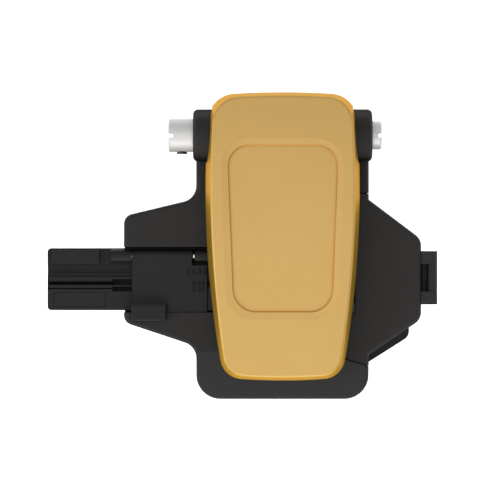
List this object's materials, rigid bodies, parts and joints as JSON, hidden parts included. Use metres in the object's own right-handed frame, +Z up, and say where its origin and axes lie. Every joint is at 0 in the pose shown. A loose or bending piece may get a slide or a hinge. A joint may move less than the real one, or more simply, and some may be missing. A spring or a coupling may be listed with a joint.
{
  "type": "fibre cleaver",
  "caption": "Desk tool that scores and snaps optical fibre: black metal base, gold hinged lid that drives a round blade, clip-on fibre holder and a bin for cut ends.",
  "frame": {"origin": "where the lid's centreline meets the fibre's line, on the surface the tool stands on", "axes": "+Z up; +Y towards the lid's hinge at the back; +X along the fibre, towards the bin for cut ends"},
  "size_m": [0.1199, 0.0942, 0.0514],
  "materials": {
    "anodised_black": "black anodised, fine satin",
    "plate_black": "black anodised plate",
    "rubber_foot": "matt rubber sheet",
    "steel": "ground steel",
    "bright_steel": "nickel plated, satin",
    "dark_screw": "black oxide",
    "magnet": "nickel plated",
    "rubber_black": "moulded rubber",
    "holder_black": "hard black, satin",
    "inlay_grey": "smooth recessed panel",
    "gold": "gold metallic, satin",
    "frame_black": "moulded black",
    "cover_black": "moulded black, satin",
    "clamp_metal": "machined",
    "blade_steel": "hard ground disc",
    "carriage_metal": "machined"
  },
  "bodies": {
    "base": {"main_body": "anodised_black", "bottom_plate": "plate_black", "rubber_base": "rubber_foot", "plate_screws": "dark_screw", "hinge_shaft": "steel", "left_shaft_cap": "bright_steel", "right_shaft_cap": "bright_steel", "cap_set_screw": "dark_screw", "latch_magnets": "magnet", "lid_bumpers": "rubber_black", "holder_base": "holder_black", "holder_inlay": "inlay_grey", "holder_pin": "steel", "holder_magnet": "magnet", "holder_screws": "dark_screw", "collector_box": "cover_black", "collector_screws": "dark_screw", "door_pin": "steel", "roller_frame": "frame_black", "left_clamp": "clamp_metal", "right_clamp": "clamp_metal", "left_lower_pad": "rubber_black", "right_lower_pad": "rubber_black", "clamp_screws": "dark_screw", "guide_rods": "steel", "front_rod_block": "carriage_metal", "back_rod_block": "carriage_metal", "rod_block_screws": "dark_screw"},
    "lid": {"lid_cover": "gold", "lid_frame": "frame_black", "lid_screws": "dark_screw", "lid_latch_plates": "magnet", "drive_pin": "steel", "anvil_pin": "steel"},
    "press": {"upper_clamp": "clamp_metal", "left_upper_pad": "rubber_black", "right_upper_pad": "rubber_black", "press_screws": "dark_screw"},
    "anvil": {"anvil_arm": "clamp_metal", "anvil_pad": "rubber_black"},
    "carriage": {"blade_carriage": "carriage_metal", "blade_shaft": "steel"},
    "blade_disc": {"blade": "blade_steel", "blade_hub": "steel"},
    "holder_flap": {"holder_lid": "holder_black", "holder_lid_pad": "rubber_black", "holder_lid_magnet": "magnet"},
    "bin_door": {"collector_door": "cover_black"},
    "upper_roll": {"upper_roller": "rubber_black", "upper_roller_shaft": "steel"},
    "lower_roll": {"lower_roller": "rubber_black", "lower_roller_shaft": "steel"}
  },
  "joints": [
    {"name": "lid_hinge", "type": "hinge", "parent": "base", "child": "lid", "pos_m": [0, 0.0452, 0.037], "axis": [-1, 0, 0], "range_deg": [0, 60]},
    {"name": "carriage_slide", "type": "slide", "parent": "base", "child": "carriage", "axis": [0, -1, 0], "range_m": [0, 0.0118]},
    {"name": "blade_index", "type": "hinge", "parent": "carriage", "child": "blade_disc", "pos_m": [0, 0.0059, 0.02085], "axis": [1, 0, 0], "continuous": true},
    {"name": "press_float", "type": "slide", "parent": "lid", "child": "press", "axis": [0, 0, 1], "range_m": [0, 0.0008], "stiffness_N_per_m": 500, "springref_m": -0.002},
    {"name": "anvil_swing", "type": "hinge", "parent": "lid", "child": "anvil", "pos_m": [0, 0.016, 0.037], "axis": [-1, 0, 0], "range_deg": [0, 5], "stiffness_Nm_per_rad": 0.05, "springref_deg": -17.19},
    {"name": "holder_lid_hinge", "type": "hinge", "parent": "base", "child": "holder_flap", "pos_m": [-0.035, 0.0083, 0.0305], "axis": [-1, 0, 0], "range_deg": [0, 100]},
    {"name": "door_hinge", "type": "hinge", "parent": "base", "child": "bin_door", "pos_m": [0.04605, 0, 0.0304], "axis": [0, -1, 0], "range_deg": [0, 100]},
    {"name": "upper_roller_spin", "type": "hinge", "parent": "base", "child": "upper_roll", "pos_m": [0.0203, 0, 0.03095], "axis": [0, 1, 0], "continuous": true},
    {"name": "lower_roller_spin", "type": "hinge", "parent": "base", "child": "lower_roll", "pos_m": [0.0203, 0, 0.02685], "axis": [0, 1, 0], "continuous": true}
  ],
  "couplings": [
    {"joint": "carriage_slide", "follows": "lid_hinge", "m_per_rad": 0.011267}
  ]
}
